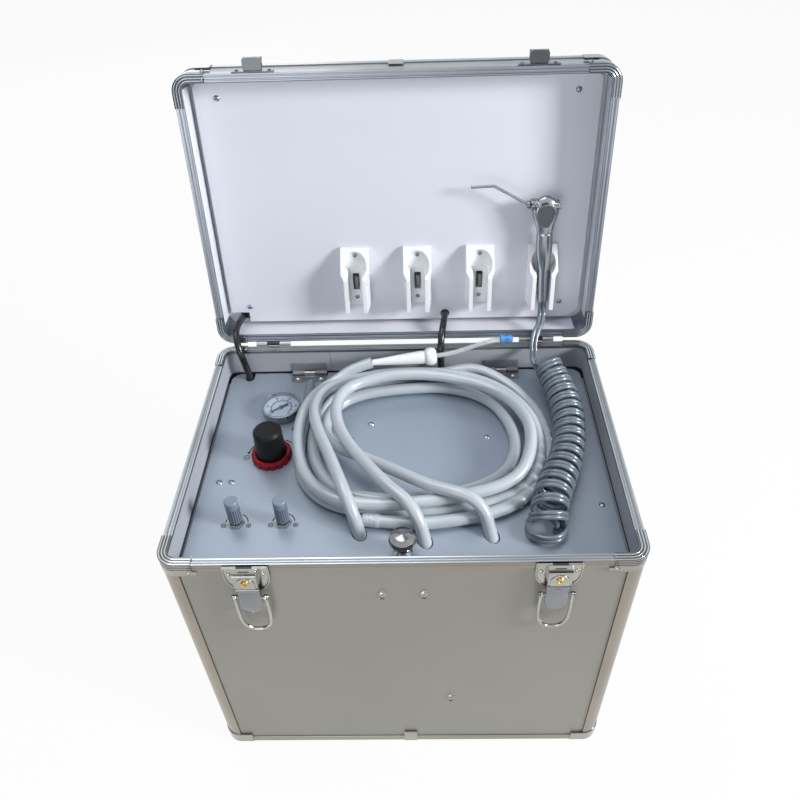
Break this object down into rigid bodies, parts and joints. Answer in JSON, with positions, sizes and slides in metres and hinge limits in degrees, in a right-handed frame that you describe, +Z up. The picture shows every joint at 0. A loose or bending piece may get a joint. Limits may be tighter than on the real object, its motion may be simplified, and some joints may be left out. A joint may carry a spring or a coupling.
{
  "type": "portable dental unit",
  "caption": "Portable dental unit in an aluminium-edged case: lid with tool holders and a syringe, and a deck with hoses, knobs and a gauge.",
  "frame": {"origin": "centre of the case's footprint, on the surface that it stands on", "axes": "+Z up, +X to the right of a user in front, -Y towards the user, with the lid hinged at +Y"},
  "size_m": [0.414, 0.3726, 0.6288],
  "materials": {
    "aluminium_edge": "anodised satin",
    "black_knob": "fine texture",
    "black_plastic": "moulded",
    "black_tube": "glossy",
    "blue_tip": "soft",
    "bottle_plastic": "translucent",
    "chromed_brass": "polished",
    "chromed_fittings": "polished",
    "clear_tube": "clear",
    "deck_face": "satin silver",
    "gauge_glass": "clear",
    "grey_coil": "satin",
    "grey_hose": "glossy",
    "grey_knob": "ribbed",
    "grey_lining": "felt-faced",
    "panel_board": "satin laminate",
    "pump_metal": "cast",
    "red_ring": "moulded",
    "rubber_foot": "moulded",
    "steel": "zinc plated",
    "tool_panel_face": "satin white",
    "white_moulding": "glossy"
  },
  "bodies": {
    "case": {"case_panels": "panel_board", "case_rails": "aluminium_edge", "case_fittings": "chromed_fittings", "case_lining": "grey_lining", "case_hinges": "chromed_fittings", "latch_plates": "chromed_fittings", "deck_supports": "steel", "tube_unions": "black_plastic", "pump": "pump_metal", "pump_feet": "rubber_foot", "bottles": "bottle_plastic", "bottle_tray": "steel", "power_inlet": "black_plastic", "black_tube_left": "black_tube", "black_tube_centre": "black_tube"},
    "deck": {"deck_plate": "deck_face", "deck_fittings": "chromed_fittings", "gauge_case": "chromed_brass", "gauge_glass": "gauge_glass", "regulator_ring": "red_ring", "valve_bodies": "chromed_brass", "lift_knob": "chromed_fittings", "hose_glands": "black_plastic", "hose_left": "grey_hose", "hose_middle": "grey_hose", "hose_right": "grey_hose", "hose_coil": "grey_hose", "hose_tails": "grey_hose", "hose_coupling": "grey_coil", "suction_handle": "white_moulding", "ejector_tube": "clear_tube", "ejector_tip": "blue_tip", "curly_coil": "grey_coil", "curly_turn": "grey_coil"},
    "lid": {"lid_panels": "panel_board", "lid_rails": "aluminium_edge", "lid_fittings": "chromed_fittings", "lid_catches": "chromed_fittings", "tool_panel": "tool_panel_face", "lid_valves": "black_plastic", "tool_holders": "white_moulding", "curly_lead": "grey_coil"},
    "syringe": {"syringe_body": "chromed_brass"},
    "nozzle": {"nozzle": "chromed_brass"},
    "air_button": {"air_button": "chromed_brass"},
    "water_button": {"water_button": "chromed_brass"},
    "carry_handle": {"carry_handle": "black_knob"},
    "power_switch": {"power_switch": "black_plastic"},
    "gauge_needle": {"gauge_needle": "black_plastic"},
    "regulator_knob": {"regulator_knob": "black_knob"},
    "water_knob_left": {"water_knob_left": "grey_knob"},
    "water_knob_right": {"water_knob_right": "grey_knob"},
    "left_latch_lever": {"left_latch_lever": "chromed_fittings"},
    "left_latch_bail": {"left_latch_bail": "chromed_fittings"},
    "right_latch_lever": {"right_latch_lever": "chromed_fittings"},
    "right_latch_bail": {"right_latch_bail": "chromed_fittings"},
    "valve_lever_1": {"valve_lever_1": "black_plastic"},
    "valve_lever_2": {"valve_lever_2": "black_plastic"},
    "valve_lever_3": {"valve_lever_3": "black_plastic"},
    "valve_lever_4": {"valve_lever_4": "black_plastic"}
  },
  "joints": [
    {"name": "lid_hinge", "type": "hinge", "parent": "case", "child": "lid", "pos_m": [0, 0.145, 0.3372], "axis": [1, 0, 0], "range_deg": [0, 97.26], "deforming": ["black_tube_left", "black_tube_centre", "curly_lead", "curly_coil"]},
    {"name": "deck_hinge", "type": "hinge", "parent": "case", "child": "deck", "pos_m": [0, 0.1314, 0.3046], "axis": [1, 0, 0], "range_deg": [-9, 0]},
    {"name": "left_latch_lever_hinge", "type": "hinge", "parent": "case", "child": "left_latch_lever", "pos_m": [-0.13, -0.1485, 0.3085], "axis": [-1, 0, 0], "range_deg": [0, 120]},
    {"name": "left_latch_bail_hinge", "type": "hinge", "parent": "left_latch_lever", "child": "left_latch_bail", "pos_m": [-0.13, -0.1485, 0.2965], "axis": [1, 0, 0], "range_deg": [-178, 0]},
    {"name": "right_latch_lever_hinge", "type": "hinge", "parent": "case", "child": "right_latch_lever", "pos_m": [0.13, -0.1485, 0.3085], "axis": [-1, 0, 0], "range_deg": [0, 120]},
    {"name": "right_latch_bail_hinge", "type": "hinge", "parent": "right_latch_lever", "child": "right_latch_bail", "pos_m": [0.13, -0.1485, 0.2965], "axis": [1, 0, 0], "range_deg": [-178, 0]},
    {"name": "power_switch_rocker", "type": "hinge", "parent": "case", "child": "power_switch", "pos_m": [0.134, 0.1413, 0.07], "axis": [1, 0, 0], "range_deg": [0, 14]},
    {"name": "carry_handle_swing", "type": "hinge", "parent": "lid", "child": "carry_handle", "pos_m": [0, 0.21051, 0.48107], "axis": [1, 0, 0], "range_deg": [-6, 84]},
    {"name": "gauge_needle_turn", "type": "hinge", "parent": "deck", "child": "gauge_needle", "pos_m": [-0.1315, 0.072, 0.308], "axis": [0, 0, 1], "range_deg": [-270, 0], "stiffness_Nm_per_rad": 0.0002},
    {"name": "regulator_knob_turn", "type": "hinge", "parent": "deck", "child": "regulator_knob", "pos_m": [-0.133, 0.008, 0.322], "axis": [0, 0, 1], "range_deg": [-150, 150]},
    {"name": "water_knob_left_turn", "type": "hinge", "parent": "deck", "child": "water_knob_left", "pos_m": [-0.154, -0.0748, 0.317], "axis": [0, 0, 1], "range_deg": [-270, 0]},
    {"name": "water_knob_right_turn", "type": "hinge", "parent": "deck", "child": "water_knob_right", "pos_m": [-0.1106, -0.0748, 0.317], "axis": [0, 0, 1], "range_deg": [-270, 0]},
    {"name": "valve_lever_1_rock", "type": "hinge", "parent": "lid", "child": "valve_lever_1", "pos_m": [-0.051, 0.17986, 0.40272], "axis": [1, 0, 0], "range_deg": [0, 8], "stiffness_Nm_per_rad": 0.02},
    {"name": "valve_lever_2_rock", "type": "hinge", "parent": "lid", "child": "valve_lever_2", "pos_m": [0.016, 0.17986, 0.40272], "axis": [1, 0, 0], "range_deg": [0, 8], "stiffness_Nm_per_rad": 0.02},
    {"name": "valve_lever_3_rock", "type": "hinge", "parent": "lid", "child": "valve_lever_3", "pos_m": [0.083, 0.17986, 0.40272], "axis": [1, 0, 0], "range_deg": [0, 8], "stiffness_Nm_per_rad": 0.02},
    {"name": "valve_lever_4_rock", "type": "hinge", "parent": "lid", "child": "valve_lever_4", "pos_m": [0.15, 0.17986, 0.40272], "axis": [1, 0, 0], "range_deg": [0, 8], "stiffness_Nm_per_rad": 0.02},
    {"name": "syringe_lift", "type": "slide", "parent": "lid", "child": "syringe", "axis": [-0.0401, 0.1263, 0.9912], "range_m": [0, 0.08]},
    {"name": "nozzle_swivel", "type": "hinge", "parent": "syringe", "child": "nozzle", "pos_m": [0.13134, 0.17731, 0.48561], "axis": [0.9992, 0.0051, 0.0398], "range_deg": [-30, 210]},
    {"name": "air_button_press", "type": "slide", "parent": "syringe", "child": "air_button", "axis": [-0.9992, -0.0051, -0.0398], "range_m": [0, 0.002], "stiffness_N_per_m": 150},
    {"name": "water_button_press", "type": "slide", "parent": "syringe", "child": "water_button", "axis": [-0.9992, -0.0051, -0.0398], "range_m": [0, 0.002], "stiffness_N_per_m": 150}
  ]
}
